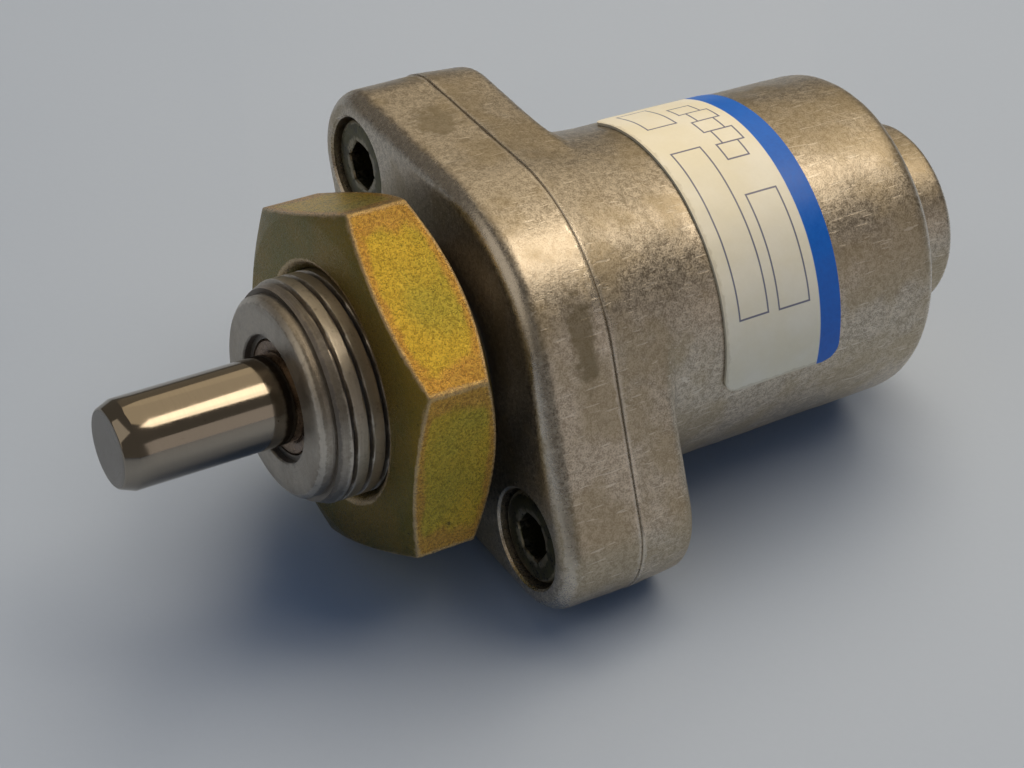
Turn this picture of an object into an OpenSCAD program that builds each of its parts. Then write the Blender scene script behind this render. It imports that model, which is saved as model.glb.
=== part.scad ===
// Single-acting pneumatic cylinder with a threaded nose, a two-bolt flange cap and a spring return.
// The rod axis is +X, the cap's front face is x = 0, and the flange leans as it lies on a bench.

/* [Cylinder] */
// Bore diameter of the barrel
bore_d = 25; // [22:0.5:26]
// Working stroke of the rod
stroke = 20; // [10:1:30]
// Wall of the barrel at its rear end
barrel_wall = 3; // [2.2:0.05:4]
// How much the barrel's radius grows from its rear end to the ears, as casting draft
barrel_draft = 0.3; // [0.1:0.1:1.2]
// Thickness of the barrel's closed rear wall
end_wall = 3.5; // [2.5:0.1:6]
// Rounding of the barrel's rear edge
rear_round = 1.6; // [0.5:0.1:2.4]

/* [Flange] */
// Thickness of the front cap
cap_l = 7.6; // [7:0.1:10]
// Radius of the flange's waist round the axis
waist_r = 17; // [16.5:0.1:19]
// Radius of the two ears round their screws
ear_r = 6.8; // [6.4:0.1:8]
// Distance between the two cap screws
screw_pitch = 37.6; // [36.5:0.1:42]
// How far the housing's ears stand proud of the cap's
ear_step = 0.1; // [0.1:0.1:0.5]
// Rounding of the cap's front edge
front_round = 1.8; // [1:0.1:2]
// Length of the housing's ears behind the joint
ear_l = 5.8; // [5:0.1:9]
// How much the ears' radius shrinks from the joint to their backs, as casting draft
ear_draft = 0.4; // [0.1:0.1:0.6]
// Length of the housing's waist behind the joint, where it runs out into the barrel
waist_l = 9.9; // [9.4:0.1:11]
// Rounding of the ears' back edges
ear_round = 1; // [0.5:0.1:2]
// Fillet between the ears' backs and the barrel
ear_fillet = 1; // [0.5:0.1:2]
// Length of the cap's locating register in the bore
register_l = 1.2; // [0.8:0.1:2]

/* [Nose] */
// Length of the threaded nose ahead of the cap's front face, its plain lead included
nose_l = 16.4; // [15:0.1:22]
// Outer diameter of the nose thread
nose_d = 20; // [19.6:0.1:24]
// Length of the plain lead at the nose's tip
lead_l = 1.4; // [0.8:0.1:2.5]
// Diameter of the plain lead and of the run-out groove
root_d = 18; // [17.6:0.1:18.4]
// Length of the thread's run-out groove behind the cap's face
runout_l = 2; // [1:0.1:2.6]
// Chamfer at the tip of the nose
nose_chamfer = 0.5; // [0.2:0.1:0.9]
// Diameter of the rod opening in the nose's face
mouth_d = 11.4; // [11:0.1:13]
// Depth of the rod opening down to the bush
mouth_depth = 0.7; // [0.3:0.1:1.4]
// Diameter of the pocket that holds the return spring
pocket_d = 15.2; // [14.8:0.1:15.8]
// Wall between the spring pocket and the bush's rear end
pocket_web = 2; // [1:0.1:3]
// How far the spring pocket reaches ahead of the cap's front face
pocket_reach = 4; // [2:0.1:6]

/* [Rod and piston] */
// Rod diameter
rod_d = 8; // [7:0.1:8.6]
// How far the rod's tip stands out of the nose when it is in
rod_out = 15.2; // [8:0.1:40]
// Length of the chamfer at the rod's tip
tip_chamfer_l = 1.2; // [0.5:0.1:2]
// Depth of the chamfer at the rod's tip
tip_chamfer_r = 0.55; // [0.2:0.05:1]
// Outer diameter of the rod bush
bush_d = 10.4; // [9.8:0.1:10.8]
// Thickness of the piston's web between its two recesses
piston_web = 2.9; // [2.4:0.1:4]
// Depth of the spring's recess in the piston's front
spring_recess = 2.8; // [2:0.1:4]
// Diameter of the stud that holds the piston
stud_d = 5; // [4.6:0.1:5.4]
// Width across flats of the piston nut
piston_nut_af = 8; // [7.6:0.1:9]
// Thickness of the piston nut
piston_nut_t = 2.7; // [2:0.1:3.4]
// Thickness of the piston washer
washer_t = 0.8; // [0.5:0.1:1.4]
// How far the piston nut lies inside the piston's rear face
nut_drop = 0.2; // [0.1:0.1:0.5]
// Diameter of the piston washer
washer_d = 10; // [9:0.1:11]

/* [Seals] */
// Width of the piston's lip seal
seal_w = 3.9; // [3:0.1:4.2]
// Depth of the lip seal's groove
seal_depth = 2.5; // [2:0.1:3]
// Width of the guide ring
guide_w = 2.5; // [1.8:0.1:2.8]
// Depth of the guide ring's groove
guide_depth = 1.2; // [0.8:0.1:1.8]
// Land at each end of the piston, outside its grooves
piston_land = 0.95; // [0.6:0.05:1.2]
// Gap of the split guide ring
guide_gap = 1; // [0.5:0.1:2]
// Cord diameter of the ring between cap and housing
cap_seal_d = 1.2; // [1:0.05:1.3]
// Land between the bore and the groove of the ring between cap and housing
cap_seal_land = 0.5; // [0.4:0.1:0.8]
// Cord diameter of the ring under the rod's shoulder
stud_seal_d = 0.9; // [0.7:0.05:1]
// Thickness of the buffer ring at the cap
front_buffer_t = 1; // [0.6:0.1:2]
// Thickness of the buffer ring at the rear wall
rear_buffer_t = 1; // [0.6:0.1:2]
// Distance of both buffer rings from the bore
buffer_inset = 1; // [0.5:0.1:1.5]
// Width of both buffer rings
buffer_w = 3; // [2:0.1:3.6]

/* [Spring] */
// Wire diameter of the return spring
wire_d = 1.2; // [0.8:0.1:1.3]
// Middle diameter of the return spring
coil_d = 13; // [12.6:0.1:13.2]
// Number of the spring's open turns
open_turns = 6; // [4:1:7]
// Number of closed turns at each end
closed_turns = 1; // [1:1:2]
// Thickness of the spring seat at the bottom of the pocket
seat_t = 0.8; // [0.5:0.1:1.5]

/* [Port] */
// Diameter of the rear boss
boss_d = 18.2; // [16:0.1:22]
// Length of the rear boss
boss_l = 7.2; // [5:0.1:12]
// Tapping diameter of the air port
port_d = 8.8; // [8:0.1:10]
// Depth of the air port's thread
port_depth = 8; // [5:0.1:9]
// Diameter of the air passage into the bore
passage_d = 4; // [2:0.5:6]
// Chamfer at the mouth of the port
port_chamfer = 0.6; // [0.3:0.1:1]
// Rounding of the boss's edge
boss_round = 0.8; // [0.3:0.1:1.5]
// Fillet between the boss and the rear wall
boss_fillet = 1.2; // [0.5:0.1:2]

/* [Fasteners] */
// Width across flats of the mounting nut
nut_af = 30; // [28:0.5:32]
// Thickness of the mounting nut
nut_t = 8; // [6:0.1:10]
// Gap between the mounting nut and the cap's face
nut_gap = 3; // [2.5:0.1:4]
// Lean of the mounting nut's front chamfer in degrees
nut_front_lean = 20; // [10:1:30]
// Lean of the mounting nut's rear chamfer in degrees
nut_rear_lean = 30; // [10:1:35]
// Diameter of the cap screws' thread
screw_d = 5; // [4:0.5:5]
// Diameter of the cap screws' heads
head_d = 8.5; // [8:0.1:8.8]
// Height of the cap screws' heads
head_h = 5; // [4:0.1:5.2]
// Diameter of the counterbores for the heads
counterbore_d = 9.2; // [9:0.1:9.6]
// How far the heads lie below the cap's face
head_drop = 0.6; // [0.2:0.1:1]
// Width across flats of the cap screws' sockets
socket_af = 4; // [3:0.5:4]
// Depth of the cap screws' sockets
socket_depth = 2.6; // [1.5:0.1:3.5]
// Length of the cap screws under the head
screw_l = 7; // [6:0.1:7.4]
// Depth of the countersinks at both ends of the mounting nut's thread
countersink = 0.8; // [0.4:0.1:1]

/* [Label] */
// Width of the type label along the barrel
label_w = 12.6; // [8:0.1:16]
// Distance of the label's front edge behind the waist's end
label_setback = 2.2; // [1.8:0.1:3]
// Part of a turn that the label covers between the ears, in degrees
label_span = 123; // [60:1:124]
// Thickness of the label
label_t = 0.25; // [0.1:0.05:0.4]

/* [Fits] */
// Radial clearance of the piston in the bore
piston_fit = 0.08; // [0.02:0.01:0.1]
// Radial clearance of seals, rings and rod where they slide or turn
slide_fit = 0.04; // [0.02:0.01:0.06]
// Radial clearance of pieces that are fixed together
fixed_fit = 0.02; // [0.01:0.01:0.05]
// Clearance left at both ends of the stroke
stop_gap = 0.15; // [0.05:0.05:0.3]
// Radial clearance of the rod in plain holes that don't guide it
free_fit = 0.4; // [0.2:0.1:0.6]
// Radial clearance of the cap screws in the cap
screw_fit = 0.25; // [0.1:0.05:0.4]
// Broken edge on turned pieces
edge_break = 0.3; // [0.1:0.1:0.4]
// Chamfer on both outer edges of the joint between cap and housing
seam_chamfer = 0.15; // [0.05:0.05:0.3]

/* [Hidden] */
$fn = 96;
hull_fn = 64;
round_steps = 5;
bore_r = bore_d / 2;
seam_x = -cap_l;
register_x = seam_x - register_l;
piston_l = spring_recess + piston_web + washer_t + piston_nut_t + nut_drop;
groove_play = 0.1;
// Overlap that lets a cut run clear of the face it opens
over = 1;
nose_r = nose_d / 2;
root_r = root_d / 2;
thread_h = nose_r - root_r;
register_r = bore_r - fixed_fit;
cap_seal_r0 = bore_r + cap_seal_land;
cap_seal_r1 = cap_seal_r0 + cap_seal_d + groove_play;
cap_seal_x = seam_x + cap_seal_d + groove_play / 2;
screw_x = -head_drop - head_h;
nut_x1 = nut_gap + nut_t;
nut_face_r = nut_af / 2 - edge_break;
ears_r = ear_r + ear_step;
// How deep the barrel is sunk in the flange and the fillets in the barrel, so that they don't just touch
sink = 0.1;
// How far the barrel's straight length runs on inside the flange
barrel_in = 3;
// The cap's rounding is made a little past its face, which then cuts it off flat
past_face = 0.3;
chamber_l = front_buffer_t + stop_gap + stroke + piston_l + stop_gap + rear_buffer_t;
bore_end_x = register_x - chamber_l;
rear_x = bore_end_x - end_wall;
boss_x = rear_x - boss_l;
rear_r = bore_r + barrel_wall;
front_r = rear_r + barrel_draft;
nose_x = nose_l;
lead_x = nose_x - lead_l;
tip_x = nose_x + rod_out;
ear_y = screw_pitch / 2;
ear_top = ear_y + ear_r + ear_step;
ear_x = seam_x - ear_l;
waist_x = seam_x - waist_l;
ear_back_r = ears_r - ear_draft;
// The flange leans so that one of its straight sides lies level below the axis
flange_turn = 180 - asin((waist_r - ear_r) / ear_y);
pocket_x = pocket_reach;
bush_x = pocket_x + pocket_web;
bush_x1 = nose_x - mouth_depth;
piston_x = bore_end_x + rear_buffer_t + stop_gap;
web_x = piston_x + piston_nut_t + washer_t + nut_drop;
web_front_x = web_x + piston_web;
stud_x = web_x - washer_t - piston_nut_t;
piston_r = bore_r - piston_fit;
stud_r = stud_d / 2;
coil_r = coil_d / 2;
wire_r = wire_d / 2;
stud_seal_x = web_front_x - stud_seal_d - groove_play / 2;
spring_x0 = web_front_x + fixed_fit;
spring_x1 = pocket_x - seat_t - fixed_fit;
label_x1 = waist_x - label_setback;
label_x0 = label_x1 - label_w;

function barrel_r(x) = rear_r + barrel_draft * (x - rear_x) / (waist_x - rear_x);
function waist_back_r(x) = front_r + (waist_r + ear_step - front_r) * (x - waist_x) / waist_l;
function arc(c, r, a0, a1, n) = [for (i = [0:n]) let (a = a0 + (a1 - a0) * i / n) c + r * [cos(a), sin(a)]];

// A turned piece from a profile of radius and x
module turned(profile, sweep = 360) rotate([0, 90, 0]) rotate_extrude(angle = sweep) polygon(profile);

// A plain round length between two places on the axis
module round_bar(r, x0, x1) translate([x0, 0, 0]) rotate([0, 90, 0]) cylinder(r = r, h = x1 - x0);

// A hexagonal length between two places on the axis
module hex_bar(af, x0, x1)
    translate([x0, 0, 0]) rotate([0, 90, 0]) cylinder(r = af / sqrt(3), h = x1 - x0, $fn = 6);

// A cone between two places on the axis
module cone_bar(r0, r1, x0, x1)
    translate([x0, 0, 0]) rotate([0, 90, 0]) cylinder(r1 = r0, r2 = r1, h = x1 - x0);

module at_ears() for (side = [-1, 1]) translate([0, side * ear_y, 0]) children();

module leaned() rotate([flange_turn, 0, 0]) children();

// Waist and ears drawn together into the two-bolt flange, as one smooth skin
module flange_skin(waist_profile, ear_profile) hull() {
    turned(waist_profile, $fn = hull_fn);
    at_ears() turned(ear_profile, $fn = hull_fn);
}

function front_rounded(r) = concat(
    [[0, seam_x], [r - seam_chamfer, seam_x], [r, seam_x + seam_chamfer]],
    arc([r - front_round - past_face, -front_round], front_round + past_face, 0, 90, round_steps),
    [[0, past_face]]);

// Side of the housing's waist inside the flange, with a small chamfer at the joint
function waist_side() = let (r = waist_r + ear_step)
    [[0, ear_x], [waist_back_r(ear_x), ear_x], [r, seam_x - seam_chamfer], [r - seam_chamfer, seam_x], [0, seam_x]];

// Side of the housing's ears: rounded back edge, draft, and a small chamfer at the joint
function ear_side() = concat(
    [[0, ear_x], [ear_back_r - ear_round, ear_x]],
    arc([ear_back_r - ear_round, ear_x + ear_round], ear_round, -90, 0, round_steps),
    [[ears_r, seam_x - seam_chamfer], [ears_r - seam_chamfer, seam_x], [0, seam_x]]);

// Plain side between two places on the axis
function plain_side(r, x0, x1) = [[0, x0], [r, x0], [r, x1], [0, x1]];

// Fillet that runs round the barrel behind each ear, cut to the ear's width
module ear_fillets() let (r0 = waist_back_r(ear_x - ear_fillet) - sink, x0 = ear_x - ear_fillet + sink)
    leaned() intersection() {
        turned(concat(
            [[0, x0]],
            arc([r0 + ear_fillet, x0], ear_fillet, 180, 90, round_steps),
            [[r0 + ear_fillet, ear_x + over], [0, ear_x + over]]));
        flange_skin(
            plain_side(front_r - over, x0 - over, ear_x + over / 2),
            plain_side(ear_back_r - ear_round - sink, x0 - over, ear_x + over / 2));
    }

module housing() color([0.62, 0.59, 0.55]) difference() {
    union() {
        leaned() flange_skin(waist_side(), ear_side());
        ear_fillets();
        turned(concat(
            [[0, boss_x], [boss_d / 2 - boss_round, boss_x]],
            arc([boss_d / 2 - boss_round, boss_x + boss_round], boss_round, -90, 0, round_steps),
            arc([boss_d / 2 + boss_fillet, rear_x - boss_fillet], boss_fillet, 180, 90, round_steps),
            arc([rear_r - rear_round, rear_x + rear_round], rear_round, -90, 0, round_steps),
            [[front_r, waist_x], [waist_back_r(ear_x) - sink, ear_x]],
            [[waist_back_r(ear_x) - sink, ear_x + barrel_in], [0, ear_x + barrel_in]]));
    }
    round_bar(bore_r, bore_end_x, seam_x + over);
    round_bar(passage_d / 2, boss_x, bore_end_x + over);
    round_bar(port_d / 2, boss_x - over, boss_x + port_depth);
    cone_bar(port_d / 2 + port_chamfer + over, port_d / 2, boss_x - over, boss_x + port_chamfer);
    leaned() at_ears() round_bar(screw_d / 2 + fixed_fit, ear_x - over, seam_x + over);
}

module front_cap() color([0.64, 0.61, 0.57]) difference() {
    union() {
        leaned() difference() {
            flange_skin(front_rounded(waist_r), front_rounded(ear_r));
            translate([0, -2 * ear_top, -2 * ear_top]) cube([cap_l, 4 * ear_top, 4 * ear_top]);
        }
        turned([
            [0, register_x], [register_r - edge_break, register_x], [register_r, register_x + edge_break],
            [register_r, seam_x + over], [root_r, seam_x + over], [root_r, runout_l],
            [nose_r, runout_l + thread_h], [nose_r, lead_x - thread_h], [root_r, lead_x],
            [root_r, nose_x - nose_chamfer], [root_r - nose_chamfer, nose_x], [0, nose_x],
        ]);
    }
    round_bar(pocket_d / 2, register_x - over, pocket_x);
    round_bar(rod_d / 2 + free_fit, pocket_x - over, bush_x + over);
    round_bar(bush_d / 2 + fixed_fit, bush_x, nose_x + over);
    round_bar(mouth_d / 2, nose_x - mouth_depth, nose_x + over);
    turned([
        [cap_seal_r0, seam_x - over], [cap_seal_r1, seam_x - over],
        [cap_seal_r1, cap_seal_x], [cap_seal_r0, cap_seal_x],
    ]);
    leaned() at_ears() {
        round_bar(counterbore_d / 2, screw_x, over);
        round_bar(screw_d / 2 + screw_fit, seam_x - over, 0);
    }
}

module cap_seal() color([0.1, 0.1, 0.1]) rotate([0, 90, 0]) rotate_extrude()
    translate([(cap_seal_r0 + cap_seal_r1) / 2, (seam_x + cap_seal_x) / 2]) circle(d = cap_seal_d);

module cap_screws() color([0.3, 0.33, 0.3]) leaned() at_ears() translate([screw_x, 0, 0]) difference() {
    turned([
        [0, -screw_l], [screw_d / 2 - edge_break, -screw_l],
        [screw_d / 2, edge_break - screw_l], [screw_d / 2, 0],
        [head_d / 2, 0], [head_d / 2, head_h - edge_break], [head_d / 2 - edge_break, head_h], [0, head_h],
    ]);
    hex_bar(socket_af, head_h - socket_depth, head_h + over);
}

module rod_bush() color([0.6, 0.42, 0.25]) turned([
    [rod_d / 2 + slide_fit, bush_x], [bush_d / 2 - edge_break, bush_x], [bush_d / 2, bush_x + edge_break],
    [bush_d / 2, bush_x1 - edge_break / 2], [bush_d / 2 - edge_break / 2, bush_x1],
    [rod_d / 2 + slide_fit + edge_break / 2, bush_x1], [rod_d / 2 + slide_fit, bush_x1 - edge_break / 2],
]);

module buffer_ring(x0, t) let (r1 = bore_r - buffer_inset, r0 = r1 - buffer_w)
    turned([[r0, x0], [r1, x0], [r1, x0 + t], [r0, x0 + t]]);

module front_buffer() color([0.15, 0.15, 0.16]) buffer_ring(register_x - front_buffer_t, front_buffer_t);

module rear_buffer() color([0.15, 0.15, 0.16]) buffer_ring(bore_end_x, rear_buffer_t);

module spring_seat() color([0.6, 0.6, 0.62]) let (
    r0 = rod_d / 2 + free_fit, r1 = pocket_d / 2 - free_fit / 2, x0 = pocket_x - seat_t)
    turned([[r0, x0], [r1, x0], [r1, pocket_x], [r0, pocket_x]]);

// Return spring: closed ends, open turns between, swept as a wire of eight sides
wire_sides = 8;
turn_steps = 20;
all_turns = open_turns + 2 * closed_turns;
// The swept wire is drawn a little thin, so that closed turns don't touch
swept_r = wire_r * 0.97;
open_l = spring_x1 - spring_x0 - wire_d - 2 * closed_turns * wire_d;
function spring_x(turns) = spring_x0 + wire_r
    + min(turns, closed_turns) * wire_d
    + max(0, min(turns - closed_turns, open_turns)) * open_l / open_turns
    + max(0, turns - closed_turns - open_turns) * wire_d;
spring_rings = [for (i = [0:all_turns * turn_steps]) let (t = i / turn_steps, a = 360 * t)
    [for (k = [0:wire_sides - 1]) let (b = 360 * k / wire_sides, r = coil_r + swept_r * cos(b))
        [spring_x(t) + swept_r * sin(b), r * cos(a), r * sin(a)]]];
spring_sides = [for (i = [0:len(spring_rings) - 2], k = [0:wire_sides - 1]) let (n = (k + 1) % wire_sides)
    [i * wire_sides + k, i * wire_sides + n, (i + 1) * wire_sides + n, (i + 1) * wire_sides + k]];
spring_ends = [
    [for (k = [wire_sides - 1:-1:0]) k],
    [for (k = [0:wire_sides - 1]) (len(spring_rings) - 1) * wire_sides + k],
];

module return_spring() color([0.55, 0.55, 0.57])
    polyhedron(points = [for (ring = spring_rings, p = ring) p], faces = concat(spring_sides, spring_ends));

// The label lies on the barrel midway between the ears
module type_label() color([0.9, 0.87, 0.77]) rotate([flange_turn - label_span / 2, 0, 0]) let (
    r0 = barrel_r(label_x0) + fixed_fit, r1 = barrel_r(label_x1) + fixed_fit)
    turned([
        [r0, label_x0], [r0 + label_t, label_x0], [r1 + label_t, label_x1], [r1, label_x1],
    ], sweep = label_span);

module mounting_nut() color([0.72, 0.62, 0.25]) leaned() rotate([90, 0, 0]) difference() {
    intersection() {
        hex_bar(nut_af, nut_gap, nut_x1);
        turned([
            [0, nut_gap], [nut_face_r, nut_gap],
            [nut_af, nut_gap + (nut_af - nut_face_r) * tan(nut_rear_lean)],
            [nut_af, nut_x1 - (nut_af - nut_face_r) * tan(nut_front_lean)],
            [nut_face_r, nut_x1], [0, nut_x1],
        ]);
    }
    round_bar(nose_r + slide_fit, nut_gap - over, nut_x1 + over);
    cone_bar(nose_r + countersink + over, nose_r, nut_gap - over, nut_gap + countersink);
    cone_bar(nose_r, nose_r + countersink + over, nut_x1 - countersink, nut_x1 + over);
}

seal_x = piston_x + piston_land;
seal_x1 = seal_x + seal_w + groove_play;
guide_x1 = piston_x + piston_l - piston_land;
guide_x = guide_x1 - guide_w - groove_play;

// Lip seal: a flexible cup whose two lips open to the air side
module piston_seal() color([0.12, 0.12, 0.13]) let (
    ri = piston_r - seal_depth + slide_fit, ro = bore_r - slide_fit, rm = (ri + ro) / 2,
    x0 = seal_x + groove_play / 2, x1 = x0 + seal_w, lip = (ro - ri) / 6)
    turned([
        [ri, x0 + lip], [ri + lip, x0], [rm - lip / 3, x0 + seal_w / 2], [rm + lip / 3, x0 + seal_w / 2],
        [ro - lip, x0], [ro, x0 + lip], [ro, x0 + 2 * lip], [ro - lip, x0 + seal_w / 2],
        [ro - lip, x1 - edge_break], [ro - lip - edge_break, x1], [ri + edge_break, x1], [ri, x1 - edge_break],
    ]);

module guide_ring() color([0.85, 0.83, 0.78]) let (
    r0 = piston_r - guide_depth + slide_fit, r1 = bore_r - slide_fit, x0 = guide_x + groove_play / 2)
    difference() {
        turned([[r0, x0], [r1, x0], [r1, x0 + guide_w], [r0, x0 + guide_w]]);
        translate([x0 - over, 0, -guide_gap / 2]) cube([guide_w + 2 * over, bore_r + over, guide_gap]);
    }

module piston() color([0.7, 0.7, 0.72]) let (front_x = piston_x + piston_l) difference() {
    turned([
        [0, piston_x], [piston_r - edge_break, piston_x], [piston_r, piston_x + edge_break],
        [piston_r, seal_x], [piston_r - seal_depth, seal_x], [piston_r - seal_depth, seal_x1],
        [piston_r, seal_x1], [piston_r, guide_x], [piston_r - guide_depth, guide_x],
        [piston_r - guide_depth, guide_x1], [piston_r, guide_x1],
        [piston_r, front_x - edge_break], [piston_r - edge_break, front_x], [0, front_x],
    ]);
    round_bar(washer_d / 2 + free_fit, piston_x - over, web_x);
    round_bar(coil_r + wire_r + free_fit, web_front_x, front_x + over);
    round_bar(stud_r + fixed_fit, piston_x, front_x);
    round_bar(stud_r + stud_seal_d + groove_play, stud_seal_x, web_front_x + over);
}

module piston_washer() color([0.6, 0.6, 0.62]) turned([
    [stud_r + fixed_fit, web_x - washer_t], [washer_d / 2, web_x - washer_t],
    [washer_d / 2, web_x], [stud_r + fixed_fit, web_x],
]);

module piston_nut() color([0.6, 0.6, 0.62]) let (x1 = web_x - washer_t, x0 = x1 - piston_nut_t) difference() {
    intersection() {
        hex_bar(piston_nut_af, x0, x1);
        turned([
            [0, x0], [piston_nut_af / 2, x0], [piston_nut_af, x0 + piston_nut_af / 2 * tan(nut_rear_lean)],
            [piston_nut_af, x1], [0, x1],
        ]);
    }
    round_bar(stud_r + fixed_fit, x0 - over, x1 + over);
}

module stud_seal() color([0.1, 0.1, 0.1]) rotate([0, 90, 0]) rotate_extrude()
    translate([stud_r + (stud_seal_d + groove_play) / 2, (stud_seal_x + web_front_x) / 2])
        circle(d = stud_seal_d - fixed_fit);

module piston_rod() color([0.75, 0.76, 0.78]) turned([
    [0, stud_x], [stud_r - edge_break, stud_x], [stud_r, stud_x + edge_break], [stud_r, web_front_x],
    [rod_d / 2, web_front_x], [rod_d / 2, tip_x - tip_chamfer_l],
    [rod_d / 2 - tip_chamfer_r, tip_x], [0, tip_x],
]);

housing();
front_cap();
cap_seal();
cap_screws();
rod_bush();
front_buffer();
rear_buffer();
spring_seat();
return_spring();
type_label();
mounting_nut();
piston_seal();
guide_ring();
piston();
piston_washer();
piston_nut();
stud_seal();
piston_rod();
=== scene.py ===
# Looks of the single-acting pneumatic cylinder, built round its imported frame.
# Sizes are in millimetres and become metres where meshes, lamps and the camera are made.
import math

import bmesh
import bpy
import numpy as np
from mathutils import Matrix, Vector, noise


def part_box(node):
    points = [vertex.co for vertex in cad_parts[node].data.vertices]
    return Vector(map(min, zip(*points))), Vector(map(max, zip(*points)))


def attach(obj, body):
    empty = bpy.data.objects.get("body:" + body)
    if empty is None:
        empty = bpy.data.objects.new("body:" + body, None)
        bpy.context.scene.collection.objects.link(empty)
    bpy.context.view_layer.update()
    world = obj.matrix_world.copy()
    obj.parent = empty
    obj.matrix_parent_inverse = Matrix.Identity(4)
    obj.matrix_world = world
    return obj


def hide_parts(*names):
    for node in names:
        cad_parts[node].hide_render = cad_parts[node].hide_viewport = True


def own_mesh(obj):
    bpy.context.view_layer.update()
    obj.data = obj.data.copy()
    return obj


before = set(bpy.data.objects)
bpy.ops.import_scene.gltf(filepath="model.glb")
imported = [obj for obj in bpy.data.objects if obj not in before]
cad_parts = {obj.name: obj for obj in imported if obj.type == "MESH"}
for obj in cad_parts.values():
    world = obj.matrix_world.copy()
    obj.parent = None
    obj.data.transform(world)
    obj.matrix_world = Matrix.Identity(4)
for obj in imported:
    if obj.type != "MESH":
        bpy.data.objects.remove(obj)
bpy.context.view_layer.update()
MM = 0.001
TURN = 2 * math.pi


def reach(node):
    """Lowest and highest x of a node of the frame, in millimetres."""
    low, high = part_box(node)
    return low.x / MM, high.x / MM


# Places along the axis, from the frame
boss_x, seam_x = reach("housing")
register_x, nose_x = reach("front_cap")
nut_x0, nut_x1 = reach("mounting_nut")
label_x0, label_x1 = reach("type_label")
rod_x0, rod_tip_x = reach("piston_rod")
bush_x0, bush_x1 = reach("rod_bush")
screw_x0, screw_x1 = reach("cap_screws")
spring_x0, spring_x1 = reach("return_spring")
_, pocket_x = reach("spring_seat")
bore_end_x, _ = reach("rear_buffer")

# Flange
waist_r = 17.0
ear_r = 6.8
ear_y = 18.8
ear_step = 0.1
front_round = 1.8
flange_turn = math.pi - math.asin((waist_r - ear_r) / ear_y)
ear_line = Vector((0, math.cos(flange_turn), math.sin(flange_turn)))
ear_back_x = -13.4
ear_draft = 0.4
ear_round = 1.0
ear_fillet = 1.0
ear_spread = 0.7
waist_end_x = -17.5
waist_blend = 0.25
seam_chamfer = 0.06
joint_land = 2.5

# Barrel and boss
bore_r = 12.5
rear_x = -44.0
rear_r = 15.5
front_r = 15.8
rear_round = 1.6
boss_r = 9.1
boss_round = 0.8
boss_fillet = 1.2
boss_face_rows = (7.4, 6.2)
port_r = 4.4
port_thread_h = 0.6
port_pitch = 0.907
port_chamfer = 0.6
port_depth = 8.0
passage_r = 2.0

# Nose
nose_r = 10.0
thread_pitch = 1.5
thread_root_r = 9.5
thread_foot = 0.06
root_r = 9.0
foot_fillet = 0.35
runout_l = 2.0
lead_l = 1.4
nose_chamfer = 0.5
nose_face_rows = (7.6, 6.7)
mouth_r = 5.7
mouth_chamfer = 0.12
mouth_depth = nose_x - bush_x1
bush_seat_r = 5.22
rod_way_r = 4.4
pocket_r = 7.6
register_r = 12.48
register_chamfer = 0.3
seal_groove = (13.0, 14.3, -6.35)

# Rod, nut, screws and spring
rod_r = 4.0
stud_r = 2.5
stud_chamfer = 0.3
web_front_x = -32.75
tip_chamfer_l = 1.2
tip_chamfer_r = 0.55
tip_soft = 0.12
tip_rings = 8
tip_ring_h = 0.015
nut_half_af = 15.0
nut_face_r = 14.7
nut_bore_r = 10.04
nut_countersink = 0.8
nut_front_lean = math.radians(20)
nut_rear_lean = math.radians(30)
nut_edge = 0.14
nut_edge_rows = (0.3, 0.8, 1.4, 2.2)
counterbore_r = 4.6
counterbore_chamfer = 0.25
screw_r = 2.5
screw_way_r = 2.75
screw_chamfer = 0.3
head_r = 4.25
head_h = 5.0
head_round = 0.45
socket_half_af = 2.0
socket_depth = 2.6
socket_face_r = 3.1
socket_mouth_r = 2.15
drill_r = 0.9
wire_r = 0.6
# The wire is a little thinner than its closed turns are apart, so that they share no surface
wire_share = 0.97
coil_r = 6.5
open_turns = 6.0
closed_turns = 1.0

# Label, with its print along the axis from its front edge and round it from its lower end
label_span = math.radians(123)
label_t = 0.25
label_lift = 0.02
label_corner = 1.6
label_band = 10.3
label_boxes = ((1.6, 4.7, 6.8, 23.2), (5.9, 9.2, 6.7, 17.2), (2.0, 5.1, 27.4, 32.4))
label_symbol = (6.3, 9.3, 21.0, 30.6)
label_bars = 5
bar_shift = 0.7
line_w = 0.22
print_ink = (0.035, 0.05, 0.16)

# Unevenness of the die castings: its height, the size and share of its waves, and a seed for each casting
lump_h = 0.06
lump_waves = ((7, 1.0), (2.2, 0.4))
housing_seed = 3.1
cap_seed = 8.4

# Marks on the cap's flank: degrees from the ears' line, half width in radians, middle and half width in x
trim_marks = ((-28, 0.14, -4.4, 2.6), (-116, 0.3, -5.2, 1.5), (-11, 0.05, -7.0, 0.7))
rubbed_lip = (-108, 0.3, seam_x + 0.6, 0.45)

# Meshes: columns round a casting, gaps between its rows, rows over flat stretches as shares of their way,
# rows and columns of the label, and the angle past which an edge is sharp
casting_columns = 384
ear_row = 0.5
barrel_row = 0.6
cap_row = 0.4
ear_back_rows = (0.08, 0.25, 0.5, 0.75, 0.92)
cap_face_rows = (0.15, 0.3, 0.5, 0.7, 0.9)
label_rows = 110
label_corner_rows = 9
label_columns = 40
sharp_angle = 40

# Clearances, and how far a cutter runs past what it cuts
tap_play = 0.02
bush_play = 0.04
bush_inset = 0.02
overrun = 1.0


def smooth_min(a, b, k):
    """The lower of two values, blended over k where they are close."""
    h = np.clip(0.5 + 0.5 * (b - a) / k, 0, 1)
    return b + (a - b) * h - k * h * (1 - h)


def smooth_max(a, b, k):
    return -smooth_min(-a, -b, k)


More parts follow.
